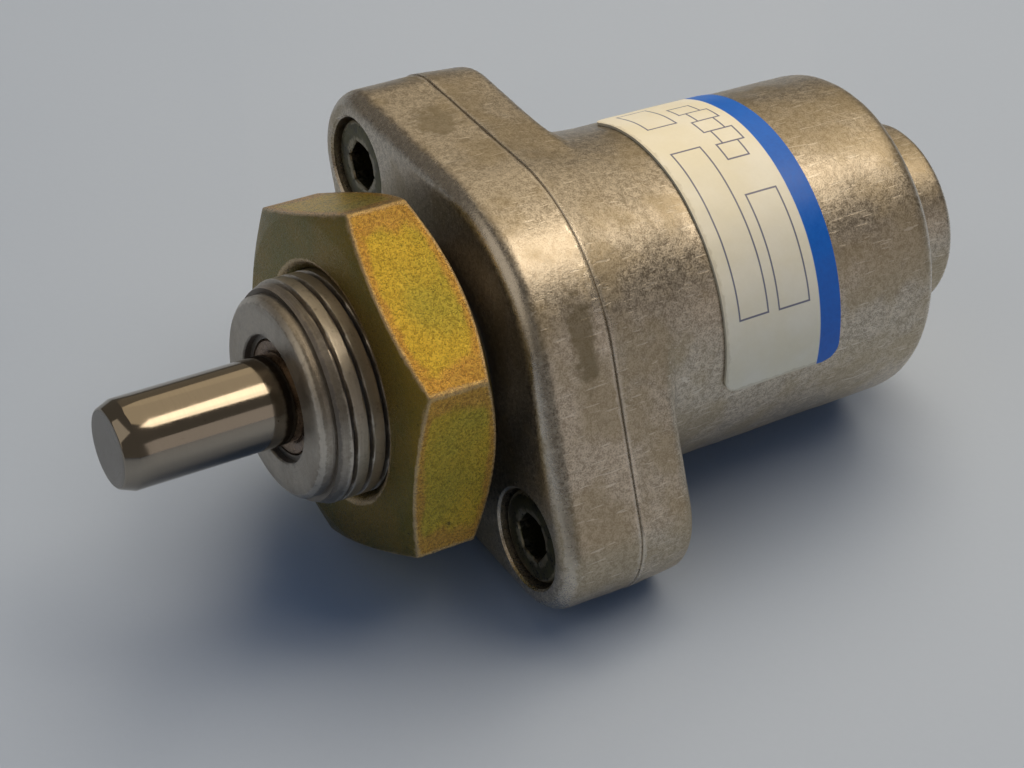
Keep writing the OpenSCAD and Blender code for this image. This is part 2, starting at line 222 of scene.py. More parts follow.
def ramp(value, low, high):
    """Rises softly from 0 at a low value to 1 at a high one."""
    t = np.clip((value - low) / (high - low), 0, 1)
    return t * t * (3 - 2 * t)


def near(distance, width):
    """Falls softly from 1 where the distance is zero."""
    return np.exp(-(distance / width) ** 2)


def strongest(*masks):
    """The highest of several values at each point."""
    return np.maximum.reduce(masks)


def hexagon_r(half_across_flats, angle):
    """Radius of a hexagon at an angle from one of its corners."""
    return half_across_flats / np.cos(angle % (math.pi / 3) - math.pi / 6)


def barrel_r(x):
    """Radius of the drafted barrel."""
    return rear_r + (front_r - rear_r) * (x - rear_x) / (waist_end_x - rear_x)


def waist_back_r(x):
    """Radius of the housing between its joint and its rear, away from the ears."""
    waist = front_r + (waist_r + ear_step - front_r) * (x - waist_end_x) / (seam_x - waist_end_x)
    return smooth_max(barrel_r(x), waist, waist_blend)


def flange_radius(turn, waist, ear):
    """Distance from the axis to the flange's outline, at an angle from the line through both ears."""
    turn = np.abs((turn + math.pi / 2) % math.pi - math.pi / 2)
    lean = math.acos((waist - ear) / ear_y)
    touch = math.atan2(ear * math.sin(lean), ear_y + ear * math.cos(lean))
    # Held just inside the ear, so that its root stays real where the outline has left it
    across = np.minimum(ear_y * np.sin(turn), ear * 0.999999)
    round_ear = ear_y * np.cos(turn) + np.sqrt(ear * ear - across * across)
    straight = waist / np.cos(turn - lean)
    return np.where(turn < touch, round_ear, np.where(turn < lean, straight, waist))


def plate_radius(x, turn):
    """Outline of the housing's half of the flange, with its draft."""
    drafted_ear = ear_r + ear_step - ear_draft * (seam_x - x) / (seam_x - ear_back_x)
    return flange_radius(turn, waist_back_r(x), drafted_ear)


def quarter(rows):
    """Angles of rows spaced evenly over a quarter turn."""
    return np.linspace(0, math.pi / 2, rows)


def round_share(height):
    """Share of its full round and fillet that a step of this height can hold."""
    return 1 - np.exp(-height ** 2 / (1.2 * height + 0.6))


def ear_rows(turn):
    """Rows of the housing from the joint over the ears' rounded backs and down their fillets to the barrel.

    Where the ears' backs run out into the waist, their round and fillet shrink to nothing with them."""
    side_x = (seam_x - seam_chamfer, *np.arange(seam_x - ear_row, ear_back_x + ear_round + 0.1, -ear_row))
    rows = [(x, plate_radius(x, turn)) for x in side_x]
    share = round_share(np.maximum(plate_radius(ear_back_x, turn) - waist_back_r(ear_back_x), 0))
    for a in quarter(8):
        x = ear_back_x + ear_round * (1 - math.sin(a))
        rows.append((x, plate_radius(x, turn) - share * ear_round * (1 - math.cos(a))))
    edge = rows[-1][1]
    spread = ear_spread * (1 - share)
    foot = waist_back_r(ear_back_x - spread) + share * ear_fillet
    rows += [(ear_back_x - spread * t, edge + (foot - edge) * t) for t in ear_back_rows]
    for a in quarter(8):
        x = ear_back_x - spread - ear_fillet * (1 - math.cos(a)) - 0.02 * a
        rows.append((x, waist_back_r(x) + share * ear_fillet * (1 - math.sin(a))))
    return rows


def arc_rows(cx, cr, radius, start, end, steps):
    """Rows along an arc round (cx, cr), with its angles in degrees from +x towards greater radius."""
    return [(cx + radius * math.cos(math.radians(a)), cr + radius * math.sin(math.radians(a)))
            for a in np.linspace(start, end, steps + 1)]


def even_rows(x0, r0, x1, r1, steps):
    """Rows from a first place up to but without a last."""
    return [(x0 + (x1 - x0) * i / steps, r0 + (r1 - r0) * i / steps) for i in range(steps)]


def linked(name, data):
    """A new object at the origin of the scene."""
    made = bpy.data.objects.new(name, data)
    bpy.context.scene.collection.objects.link(made)
    return made


def finish_mesh(mesh, sharp):
    """Turns faces outwards and marks the sharp edges."""
    work = bmesh.new()
    work.from_mesh(mesh)
    bmesh.ops.recalc_face_normals(work, faces=work.faces)
    work.to_mesh(mesh)
    work.free()
    mesh.shade_smooth()
    mesh.set_sharp_from_angle(angle=math.radians(sharp))
    mesh.update()


def mesh_object(name, verts, faces, materials, face_slots=None, sharp=sharp_angle):
    """A piece at the origin, from points in millimetres, smooth apart from its sharp edges."""
    mesh = bpy.data.meshes.new(name)
    mesh.from_pydata((np.asarray(verts, float) * MM).tolist(), [], faces)
    for material in materials:
        mesh.materials.append(material)
    if face_slots is not None:
        mesh.polygons.foreach_set("material_index", face_slots)
    finish_mesh(mesh, sharp)
    return linked(name, mesh)


def turned_piece(name, profile, materials, columns=128, sharp=sharp_angle, start=0.0, centre=(0.0, 0.0),
                 slots=None):
    """A piece turned round the axis from rows of x and radius, each one number or one for each column.

    The rows go round as a closed loop, unless the first and last lie on the axis as single points.
    Slots tell the material of the strip that follows each row."""
    angles = start + TURN * np.arange(columns) / columns
    cos, sin = np.cos(angles), np.sin(angles)
    slots = slots or [0] * len(profile)
    verts, rows = [], []
    for x, radius in profile:
        x, radius = (np.broadcast_to(np.asarray(value, float), columns) for value in (x, radius))
        if not radius.any():
            rows.append([len(verts)] * columns)
            verts.append((x[0], *centre))
        else:
            rows.append(list(range(len(verts), len(verts) + columns)))
            verts += list(zip(x, centre[0] + radius * cos, centre[1] + radius * sin))
    solid = len(set(rows[0])) == 1
    faces, face_slots = [], []
    for i in range(len(rows) - 1 if solid else len(rows)):
        low, high = rows[i], rows[(i + 1) % len(rows)]
        for j in range(columns):
            k = (j + 1) % columns
            corners = list(dict.fromkeys((low[j], low[k], high[k], high[j])))
            if len(corners) > 2:
                faces.append(corners)
                face_slots.append(slots[i])
    return mesh_object(name, verts, faces, materials, face_slots, sharp)


def made_plain(piece):
    """The piece with its modifiers applied, as a plain mesh."""
    bpy.context.view_layer.update()
    shaped = bpy.data.meshes.new_from_object(piece.evaluated_get(bpy.context.evaluated_depsgraph_get()))
    piece.modifiers.clear()
    shaped.name = piece.name
    piece.data = shaped
    return piece


def cut(piece, cutters):
    """Cuts closed bodies out of a piece and removes them."""
    for cutter in cutters:
        boolean = piece.modifiers.new("cut", "BOOLEAN")
        boolean.operation = "DIFFERENCE"
        boolean.solver = "EXACT"
        boolean.object = cutter
    made_plain(piece)
    for cutter in cutters:
        bpy.data.objects.remove(cutter)
    piece.data.set_sharp_from_angle(angle=math.radians(sharp_angle))
    return piece


def store(piece, name, values):
    """A value at each point of the mesh, for its material to read."""
    layer = piece.data.attributes.new(name, "FLOAT", "POINT")
    layer.data.foreach_set("value", np.asarray(values, np.float32))


def places_of(piece):
    """The x, y, z and distance from the axis of each point, in millimetres."""
    co = np.zeros(len(piece.data.vertices) * 3)
    piece.data.vertices.foreach_get("co", co)
    x, y, z = co.reshape(-1, 3).T / MM
    return x, y, z, np.hypot(y, z)


# Node trees
FLOAT = "NodeSocketFloat"
VECTOR = "NodeSocketVector"
GEOMETRY = "NodeSocketGeometry"
MATERIAL = "NodeSocketMaterial"
SOCKET_OF_VALUE = {float: FLOAT, int: "NodeSocketInt"}
# How far tool marks wander in their noise for each radian round the axis
ring_drift = 0.04


class Graph:
    """Short ways to add nodes to a node tree."""

    def __init__(self, tree):
        self.tree = tree

    def add(self, kind, inputs=None, **settings):
        node = self.tree.nodes.new(kind)
        for name, value in settings.items():
            setattr(node, name, value)
        for name, value in (inputs or {}).items():
            self.feed(node.inputs[name], value)
        return node

    def feed(self, socket, value):
        if isinstance(value, bpy.types.NodeSocket):
            self.tree.links.new(value, socket)
        else:
            socket.default_value = value

    def math(self, operation, *values, clamp=False):
        node = self.add("ShaderNodeMath", operation=operation, use_clamp=clamp)
        for socket, value in zip(node.inputs, values):
            self.feed(socket, value)
        return node.outputs[0]

    def plus(self, a, b):
        return self.math("ADD", a, b)

    def minus(self, a, b):
        return self.math("SUBTRACT", a, b)

    def times(self, a, b):
        return self.math("MULTIPLY", a, b)

    def over(self, a, b, clamp=False):
        return self.math("DIVIDE", a, b, clamp=clamp)

    def scaled(self, value, slope, start, clamp=False):
        """A value times a slope, plus a start."""
        return self.math("MULTIPLY_ADD", value, slope, start, clamp=clamp)

    def between(self, value, low, high):
        """Rises softly from 0 at a low value to 1 at a high one."""
        inputs = {"Value": value, "From Min": low, "From Max": high, "To Min": 0.0, "To Max": 1.0}
        return self.add("ShaderNodeMapRange", inputs, interpolation_type="SMOOTHSTEP").outputs["Result"]

    def split(self, vector):
        return self.add("ShaderNodeSeparateXYZ", {"Vector": vector}).outputs

    def joined(self, x, y, z):
        return self.add("ShaderNodeCombineXYZ", {"X": x, "Y": y, "Z": z}).outputs[0]

    def mix(self, share, a, b):
        """Two colours mixed by a share of the second."""
        node = self.add("ShaderNodeMix", data_type="RGBA")
        for index, value in ((0, share), (6, a), (7, b)):
            self.feed(node.inputs[index], (*value, 1) if isinstance(value, tuple) else value)
        return node.outputs[2]

    def noise(self, place, size, detail=2.0, rough=0.5):
        """Noise from 0 to 1 whose waves have a size in millimetres."""
        inputs = {"Scale": self.over(1 / MM, size), "Detail": detail, "Roughness": rough, "Vector": place}
        return self.add("ShaderNodeTexNoise", inputs).outputs["Fac"]

    def group(self, tree, inputs):
        return self.add("ShaderNodeGroup", inputs, node_tree=tree).outputs


def new_group(kind, name, inputs, outputs, output_kind):
    """A node group as its graph, its input sockets and its output node.

    An input is given as its plain value, or as its kind where it has none."""
    tree = bpy.data.node_groups.new(name, kind)
    for socket, value in inputs.items():
        socket_kind = SOCKET_OF_VALUE.get(type(value), value)
        made = tree.interface.new_socket(socket, in_out="INPUT", socket_type=socket_kind)
        if socket_kind != value:
            made.default_value = value
    for socket in outputs:
        tree.interface.new_socket(socket, in_out="OUTPUT", socket_type=output_kind)
    graph = Graph(tree)
    return graph, graph.add("NodeGroupInput").outputs, graph.add("NodeGroupOutput")


def effect_group(name, inputs, *outputs):
    """An effect that materials share, on a place on their piece."""
    return new_group("ShaderNodeTree", name, {"Place": VECTOR, **inputs}, outputs, FLOAT)


def speckle_effect():
    """Fine grain of a surface: a value from 0 to 1 round a half, and a height for a bump."""
    g, given, out = effect_group("speckle", {"Size": 0.3, "Contrast": 0.5}, "Value", "Height")
    fine = g.noise(given["Place"], given["Size"], 2.0, 0.6)
    coarse = g.noise(given["Place"], g.times(given["Size"], 3.3), 1.0)
    both = g.plus(g.times(fine, 0.65), g.times(coarse, 0.35))
    spread = g.scaled(g.minus(both, 0.5), g.times(given["Contrast"], 5.0), 0.5, clamp=True)
    g.feed(out.inputs["Value"], spread)
    g.feed(out.inputs["Height"], both)
    return g.tree


def patch_effect():
    """Soft-edged patches, as a mask: stains, films of oil and shifts of hue."""
    g, given, out = effect_group("patches", {"Size": 5.0, "Level": 0.55, "Softness": 0.12}, "Mask")
    value = g.noise(given["Place"], given["Size"], 3.0, 0.55)
    low = g.minus(given["Level"], given["Softness"])
    high = g.plus(given["Level"], given["Softness"])
    g.feed(out.inputs["Mask"], g.between(value, low, high))
    return g.tree


def scratch_effect():
    """Short fine scratches in two directions, as a mask."""
    g, given, out = effect_group("scratches", {"Size": 0.5, "Amount": 0.5}, "Mask")
    masks = []
    for turn, stretch in (((0.3, 0.9, 0.5), (1.0, 9.0, 9.0)), ((1.2, 0.2, 2.0), (1.0, 12.0, 12.0))):
        turned = g.add("ShaderNodeMapping", {"Vector": given["Place"], "Rotation": turn, "Scale": stretch})
        value = g.noise(turned.outputs[0], g.times(given["Size"], 9.0), 1.0)
        level = g.scaled(given["Amount"], -0.16, 0.78)
        masks.append(g.between(value, level, g.plus(level, 0.05)))
    g.feed(out.inputs["Mask"], g.math("MAXIMUM", *masks))
    return g.tree


def ring_effect():
    """Tool marks left by turning: rings round the axis on faces, and hoops along it on cylinders."""
    g, given, out = effect_group("ring marks", {"Pitch": 0.15}, "Height")
    x, y, z = g.split(given["Place"])
    radius = g.math("SQRT", g.plus(g.times(y, y), g.times(z, z)))
    drift = g.times(g.math("ARCTAN2", z, y), ring_drift * MM)
    g.feed(out.inputs["Height"], g.noise(g.joined(x, radius, drift), given["Pitch"], 2.0, 0.6))
    return g.tree


def broken_mask_effect():
    """A value stored on the mesh, broken up by noise, as a mask: rubbed edges, marks, rims, and painted shade
    with some dirt.
    """
    g, given, out = effect_group("broken stored mask", {"Wear": 0.0, "Size": 0.8, "Bite": 0.5}, "Mask")
    broken = g.noise(given["Place"], given["Size"], 3.0, 0.6)
    level = g.scaled(g.minus(broken, 0.5), g.times(given["Bite"], 2.4), given["Wear"])
    g.feed(out.inputs["Mask"], g.between(level, 0.35, 0.75))
    return g.tree


SPECKLE = speckle_effect()
PATCHES = patch_effect()
SCRATCHES = scratch_effect()
RINGS = ring_effect()
BROKEN_MASK = broken_mask_effect()


class Finish(Graph):
    """A material with its shader and its piece's own coordinates. Sizes of patterns are in millimetres."""

    def __init__(self, name):
        self.material = bpy.data.materials.new(name)
        self.material.use_nodes = True
        super().__init__(self.material.node_tree)
        self.shader = self.tree.nodes["Principled BSDF"]
        self.place = self.add("ShaderNodeTexCoord").outputs["Object"]

    def effect(self, tree, **values):
        return self.group(tree, {"Place": self.place, **values})

    def stored(self, name):
        return self.add("ShaderNodeAttribute", attribute_name=name).outputs["Fac"]

    def speckle(self, size, contrast):
        return self.effect(SPECKLE, Size=size, Contrast=contrast)

    def rings(self, pitch):
        return self.effect(RINGS, Pitch=pitch)["Height"]

    def patches(self, size, level, softness):
        return self.effect(PATCHES, Size=size, Level=level, Softness=softness)["Mask"]

    def broken_mask(self, name, size, bite):
        """A value stored on the mesh, broken up as a mask."""
        return self.effect(BROKEN_MASK, Wear=self.stored(name), Size=size, Bite=bite)["Mask"]

    def coats(self, colour, *coats):
        """A colour under coats, each a mask, the share of it that covers, and the coat's own colour."""
        for mask, share, over in coats:
            colour = self.mix(self.times(mask, share), colour, over)
        return colour

    def shade(self, colour, roughness, metallic=0.0):
        """Gives the shader its colour, how rough it is and how much of a metal."""
        for name, value in (("Base Color", colour), ("Roughness", roughness), ("Metallic", metallic)):
            self.feed(self.shader.inputs[name], value)

    def bumps(self, *heights):
        """Bumps one after another, each a height from 0 to 1 and its depth in millimetres."""
        normal = None
        for height, depth in heights:
            bump = self.add("ShaderNodeBump", {"Height": height, "Distance": depth * MM, "Strength": 1.0})
            if normal is not None:
                self.feed(bump.inputs["Normal"], normal)
            normal = bump.outputs["Normal"]
        self.feed(self.shader.inputs["Normal"], normal)


def cast_alloy():
    """Tumbled die casting: speckled warm grey with olive films, rubbed edges, brown trim marks, and painted
    shade with some dirt in its corners.
    """
    f = Finish("cast_alloy")
    fine = f.speckle(0.15, 1.0)
    broad = f.speckle(1.8, 0.4)
    film = f.patches(6.0, 0.53, 0.1)
    scratch = f.effect(SCRATCHES, Size=0.3, Amount=0.62)["Mask"]
    rubbed = f.broken_mask("wear", 0.7, 0.6)
    mark = f.broken_mask("mark", 1.1, 0.55)
    shade_and_grime = f.broken_mask("shade_and_grime", 1.4, 0.5)
    colour = f.coats(
        f.mix(fine["Value"], (0.33, 0.285, 0.225), (0.68, 0.61, 0.505)),
        (broad["Value"], 0.25, (0.42, 0.365, 0.30)),
        (film, 0.4, (0.38, 0.30, 0.165)),
        (scratch, 0.45, (0.85, 0.79, 0.69)),
        (mark, 0.7, (0.17, 0.13, 0.06)),
        # Mostly painted shade, with some dirt: darker and less metallic in corners and recesses, from the
        # stored value
        (shade_and_grime, 0.6, (0.12, 0.09, 0.06)),
        (rubbed, 0.5, (0.70, 0.64, 0.55)))
    roughness = f.scaled(rubbed, -0.1, f.scaled(film, 0.08, f.scaled(fine["Value"], 0.12, 0.29)))
    f.shade(colour, roughness, f.scaled(f.math("MAXIMUM", mark, shade_and_grime), -0.3, 0.93))
    f.bumps((broad["Height"], 0.05), (fine["Height"], 0.022), (f.minus(1, scratch), 0.006))
    return f.material


def turned_nose():
    """The nose where it was turned after casting: dull brownish grey with ring marks, and painted shade with
    some dirt in its corners and grooves.
    """
    f = Finish("turned_nose")
    rings = f.rings(0.1)
    fine = f.speckle(0.3, 0.5)
    film = f.patches(3.0, 0.5, 0.12)
    rubbed = f.broken_mask("wear", 0.6, 0.5)
    shade_and_grime = f.broken_mask("shade_and_grime", 0.7, 0.5)
    colour = f.coats(
        f.mix(fine["Value"], (0.26, 0.23, 0.19), (0.45, 0.40, 0.335)),
        (rings, 0.5, (0.52, 0.465, 0.39)),
        (film, 0.35, (0.22, 0.18, 0.13)),
        # Mostly painted shade, with some dirt: darker and less metallic in the corners, the mouth and the
        # thread's grooves
        (shade_and_grime, 0.55, (0.07, 0.05, 0.035)),
        (rubbed, 0.5, (0.76, 0.70, 0.60)))
    f.shade(colour, f.scaled(fine["Value"], 0.14, 0.3), f.scaled(shade_and_grime, -0.5, 0.92))
    f.bumps((rings, 0.03), (fine["Height"], 0.03))
    return f.material


def yellow_zinc():
    """Yellow passivated zinc over a sandy surface: gold and green on the flats, pink towards their edges,
    with painted shade on its ends and painted glints on its flats.
    """
    f = Finish("yellow_zinc")
    sand = f.speckle(0.085, 1.4)
    grain = f.speckle(0.6, 0.7)
    green = f.patches(7.0, 0.5, 0.16)
    pits = f.patches(0.5, 0.71, 0.025)
    rim = f.broken_mask("rim", 3.0, 0.55)
    edge = f.broken_mask("wear", 0.8, 0.35)
    sides = f.stored("sides")
    flat = f.mix(green, (0.84, 0.58, 0.065), (0.52, 0.45, 0.065))
    flat = f.coats(flat, (rim, 0.6, (0.70, 0.27, 0.10)))
    # Painted shade: the ends, cones and bore are the same zinc as the flats, painted much darker as if in
    # shade
    face = f.mix(green, (0.26, 0.18, 0.03), (0.16, 0.145, 0.03))
    colour = f.coats(f.mix(f.minus(1, sides), flat, face), (edge, 0.65, (0.80, 0.60, 0.38)))
    colour = f.coats(
        colour,
        (f.minus(1, sand["Value"]), f.scaled(sides, 0.3, 0.2), (0.15, 0.11, 0.02)),
        # Painted glints: bright gold dots on the flats where the sand is high
        (f.between(sand["Value"], 0.55, 0.85), f.times(sides, 0.3), (0.96, 0.75, 0.15)),
        (grain["Value"], 0.2, (0.30, 0.17, 0.03)),
        (pits, 0.8, (0.05, 0.035, 0.015)))
    f.shade(colour, f.scaled(sand["Value"], 0.14, 0.24), f.scaled(pits, -0.5, 0.92))
    f.bumps((sand["Height"], 0.1), (f.minus(1, pits), 0.05))
    return f.material


def chrome_rod():
    """Ground and polished rod: hoops of fine scratches, rings on its end face, which is painted darker as
    shade, a few brown pits.
    """
    f = Finish("chrome_rod")
    hoops = f.rings(0.07)
    broad = f.rings(0.7)
    pits = f.patches(0.5, 0.73, 0.02)
    oil = f.patches(2.5, 0.5, 0.2)
    face = f.stored("face")
    colour = f.mix(f.times(f.between(hoops, 0.35, 0.65), 0.12), (0.34, 0.30, 0.245), (0.24, 0.205, 0.16))
    # Painted shade: the end face is painted darker, for the shaded bench that it mirrors
    colour = f.coats(colour, (face, 0.75, (0.17, 0.155, 0.14)))
    roughness = f.scaled(oil, 0.05, f.scaled(f.between(hoops, 0.3, 0.7), 0.03, 0.06))
    f.shade(f.mix(pits, colour, (0.12, 0.08, 0.05)), f.scaled(face, 0.2, roughness), 1.0)
    f.bumps((hoops, 0.0005), (broad, 0.001), (f.times(f.minus(1, hoops), face), 0.02))
    return f.material


def dark_zinc():
    """Dark greenish zinc of the cap screws, oily and rubbed at the edges."""
    f = Finish("dark_zinc")
    fine = f.speckle(0.25, 0.7)
    colour = f.coats(
        f.mix(fine["Value"], (0.02, 0.018, 0.01), (0.09, 0.08, 0.04)),
        (f.patches(1.6, 0.5, 0.15), 0.5, (0.12, 0.11, 0.04)),
        (f.broken_mask("wear", 0.5, 0.5), 0.6, (0.38, 0.33, 0.24)))
    f.shade(colour, f.scaled(fine["Value"], 0.2, 0.26), 0.8)
    f.bumps((fine["Height"], 0.03))
    return f.material


def sintered_bronze():
    """Oily sintered bronze of the rod bush, with fine pores."""
    f = Finish("sintered_bronze")
    pores = f.speckle(0.14, 1.0)
    oil = f.patches(1.2, 0.48, 0.15)
    colour = f.mix(pores["Value"], (0.15, 0.105, 0.075), (0.36, 0.27, 0.19))
    f.shade(f.coats(colour, (oil, 0.6, (0.14, 0.075, 0.04))), f.scaled(oil, -0.2, 0.45), 0.85)
    f.bumps((pores["Height"], 0.03))
    return f.material


def steel(name, light, dark, roughness, pitch):
    """Plain machined or drawn metal with fine marks."""
    f = Finish(name)
    rings = f.rings(pitch)
    fine = f.speckle(0.3, 0.5)
    colour = f.mix(f.between(rings, 0.3, 0.7), dark, light)
    colour = f.coats(colour, (f.patches(3.0, 0.55, 0.1), 0.3, (0.22, 0.19, 0.15)))
    f.shade(colour, f.scaled(fine["Value"], 0.14, roughness - 0.06), 1.0)
    f.bumps((rings, 0.012), (fine["Height"], 0.01))
    return f.material


def soft_plastic(name, light, dark, roughness, depth):
    """Moulded rubber or plastic with a fine grain and a film of grease."""
    f = Finish(name)
    fine = f.speckle(0.22, 0.6)
    f.shade(f.mix(fine["Value"], dark, light), f.scaled(f.patches(2.2, 0.5, 0.15), -0.2, roughness))
    f.bumps((fine["Height"], depth))
    return f.material


def box_effect():
    """Outline of a box on the label, as a mask."""
    ends = {"Low X": 0.0, "High X": 1.0, "Low Y": 0.0, "High Y": 1.0}
    inputs = {"Along": 0.0, "Round": 0.0, **ends, "Line": 0.2}
    g, given, out = new_group("ShaderNodeTree", "box outline", inputs, ["Mask"], FLOAT)
    sides = []
    for along, low, high in (("Along", "Low X", "High X"), ("Round", "Low Y", "High Y")):
        middle = g.times(g.plus(given[low], given[high]), 0.5)
        half = g.times(g.minus(given[high], given[low]), 0.5)
        sides.append(g.minus(g.math("ABSOLUTE", g.minus(given[along], middle)), half))
    from_side = g.math("ABSOLUTE", g.math("MAXIMUM", *sides))
    half_line, core = g.times(given["Line"], 0.5), g.times(given["Line"], 0.25)
    g.feed(out.inputs["Mask"], g.between(from_side, half_line, core))
    return g.tree


def symbol_boxes():
    """Boxes that stand for the symbol on the label, each shifted against the last."""
    low_x, high_x, low_y, high_y = label_symbol
    bar = (high_y - low_y) / label_bars
    for k in range(label_bars):
        left, right = (bar_shift, 0) if k % 2 else (0, bar_shift)
        yield low_x + left, high_x - right, low_y + k * bar, low_y + (k + 1) * bar


def label_film():
    """Cream film with a blue band and bare outlined boxes, yellowed and rubbed with handling."""
    f = Finish("label_film")
    outline = box_effect()
    along, around, _ = f.split(f.add("ShaderNodeUVMap", uv_map="print").outputs[0])
    lines = 0.0
    for low_x, high_x, low_y, high_y in (*label_boxes, *symbol_boxes()):
        box = f.group(outline, {"Along": along, "Round": around, "Low X": low_x, "High X": high_x,
                                "Low Y": low_y, "High Y": high_y, "Line": line_w})
        lines = f.math("MAXIMUM", lines, box["Mask"])
    fine = f.speckle(0.35, 0.5)
    cream = f.coats(
        f.mix(f.patches(6.0, 0.5, 0.2), (0.96, 0.90, 0.73), (0.92, 0.84, 0.62)),
        (fine["Value"], 0.10, (0.66, 0.58, 0.42)),
        (f.broken_mask("wear", 0.8, 0.6), 0.45, (0.58, 0.50, 0.34)),
        (lines, 0.85, print_ink))
    blue = f.mix(fine["Value"], (0.001, 0.12, 0.56), (0.003, 0.15, 0.64))
    in_band = f.between(along, label_band - 0.04, label_band + 0.04)
    f.shade(f.mix(in_band, cream, blue), f.scaled(fine["Value"], 0.12, 0.3))
    f.bumps((f.noise(f.place, 3.0), 0.06), (fine["Height"], 0.006))
    return f.material


def bench_finish():
    """Pale blue-grey bench top with a faint grain."""
    f = Finish("bench")
    fine = f.noise(f.place, 0.8)
    broad = f.noise(f.place, 60.0)
    colour = f.mix(broad, (0.42, 0.487, 0.588), (0.465, 0.528, 0.625))
    f.shade(f.coats(colour, (fine, 0.12, (0.36, 0.42, 0.51))), 0.45)
    f.bumps((fine, 0.01))
    return f.material


ALLOY = cast_alloy()
NOSE = turned_nose()
ZINC = yellow_zinc()
CHROME = chrome_rod()
SCREW = dark_zinc()
BRONZE = sintered_bronze()
FILM = label_film()
WIRE = steel("spring_wire", (0.50, 0.50, 0.51), (0.36, 0.35, 0.35), 0.32, 0.5)
PLAIN_STEEL = steel("plain_steel", (0.62, 0.62, 0.63), (0.45, 0.45, 0.45), 0.3, 0.12)
TURNED_ALLOY = steel("turned_alloy", (0.72, 0.72, 0.73), (0.55, 0.55, 0.56), 0.3, 0.1)
RUBBER = soft_plastic("black_rubber", (0.035, 0.035, 0.037), (0.02, 0.02, 0.02), 0.55, 0.02)
GUIDE = soft_plastic("guide_plastic", (0.78, 0.75, 0.67), (0.70, 0.66, 0.57), 0.42, 0.01)


def lumpy(points, seed):
    """Slow unevenness of a die casting at each point."""
    shift = Vector((seed, seed, seed))

    def height(point):
        return sum(lump_h * share * noise.noise(point / size + shift) for size, share in lump_waves)

    return np.array([height(Vector(point)) for point in points])


def columns_from_ears():
    """Angle of each column of a casting from the line through the ears."""
    return TURN * np.arange(casting_columns) / casting_columns


def with_lumps(rows, seed):
    """Rows of a casting with its unevenness added to their radius."""
    angles = flange_turn + columns_from_ears()
    uneven = []
    for x, radius in rows:
        x, radius = (np.broadcast_to(np.asarray(value, float), casting_columns) for value in (x, radius))
        points = np.stack([x, radius * np.cos(angles), radius * np.sin(angles)], 1)
        uneven.append((x, radius + lumpy(points, seed)))
    return uneven


def at_ears(profile, name):
    """A turned cutter round each screw's axis."""
    ear = ear_line * ear_y
    return [turned_piece(f"{name}_{side}", profile, [ALLOY], columns=96, centre=(side * ear.y, side * ear.z))
            for side in (-1, 1)]


def housing():
    """Barrel, ears, rear wall and boss as one casting, hollow inside."""
    turn = columns_from_ears()
    rows = [(seam_x, bore_r), (seam_x, flange_radius(turn, waist_r, ear_r + ear_step) - joint_land)]
    skin = [(seam_x, flange_radius(turn, waist_r + ear_step, ear_r + ear_step) - seam_chamfer)]
    skin += ear_rows(turn)
    barrel_x = np.arange(ear_back_x - ear_fillet - 0.8, rear_x + rear_round, -barrel_row)
    skin += [(x, waist_back_r(x)) for x in barrel_x]
    skin += arc_rows(rear_x + rear_round, rear_r - rear_round, rear_round, 90, 180, 8)
    skin += even_rows(rear_x, rear_r - rear_round - 0.8, rear_x, boss_r + boss_fillet, 3)
    skin += arc_rows(rear_x - boss_fillet, boss_r + boss_fillet, boss_fillet, 0, -90, 6)
    skin += even_rows(rear_x - boss_fillet - 0.7, boss_r, boss_x + boss_round, boss_r, 6)
    skin += arc_rows(boss_x + boss_round, boss_r - boss_round, boss_round, 90, 180, 6)
    rows += with_lumps(skin, housing_seed)
    thread_r = port_r + port_thread_h
    port_end_x = boss_x + port_depth
    rows += [(boss_x, r) for r in boss_face_rows]
    rows += [(boss_x, thread_r + port_chamfer), (boss_x + port_chamfer, thread_r),
             (port_end_x - 0.4, thread_r), (port_end_x, port_r), (port_end_x, passage_r),
             (bore_end_x, passage_r), (bore_end_x, bore_r)]
    rows += [(x, bore_r) for x in np.linspace(bore_end_x, seam_x, 6)[1:-1]]
    piece = turned_piece("housing_casting", rows, [ALLOY], columns=casting_columns, start=flange_turn)
    front_x, back_x, tap_r = seam_x + overrun, ear_back_x - overrun, screw_r + tap_play
    tap = [(front_x, 0), (front_x, tap_r), (back_x, tap_r), (back_x, 0)]
    return cut(piece, at_ears(tap, "tapped_hole"))


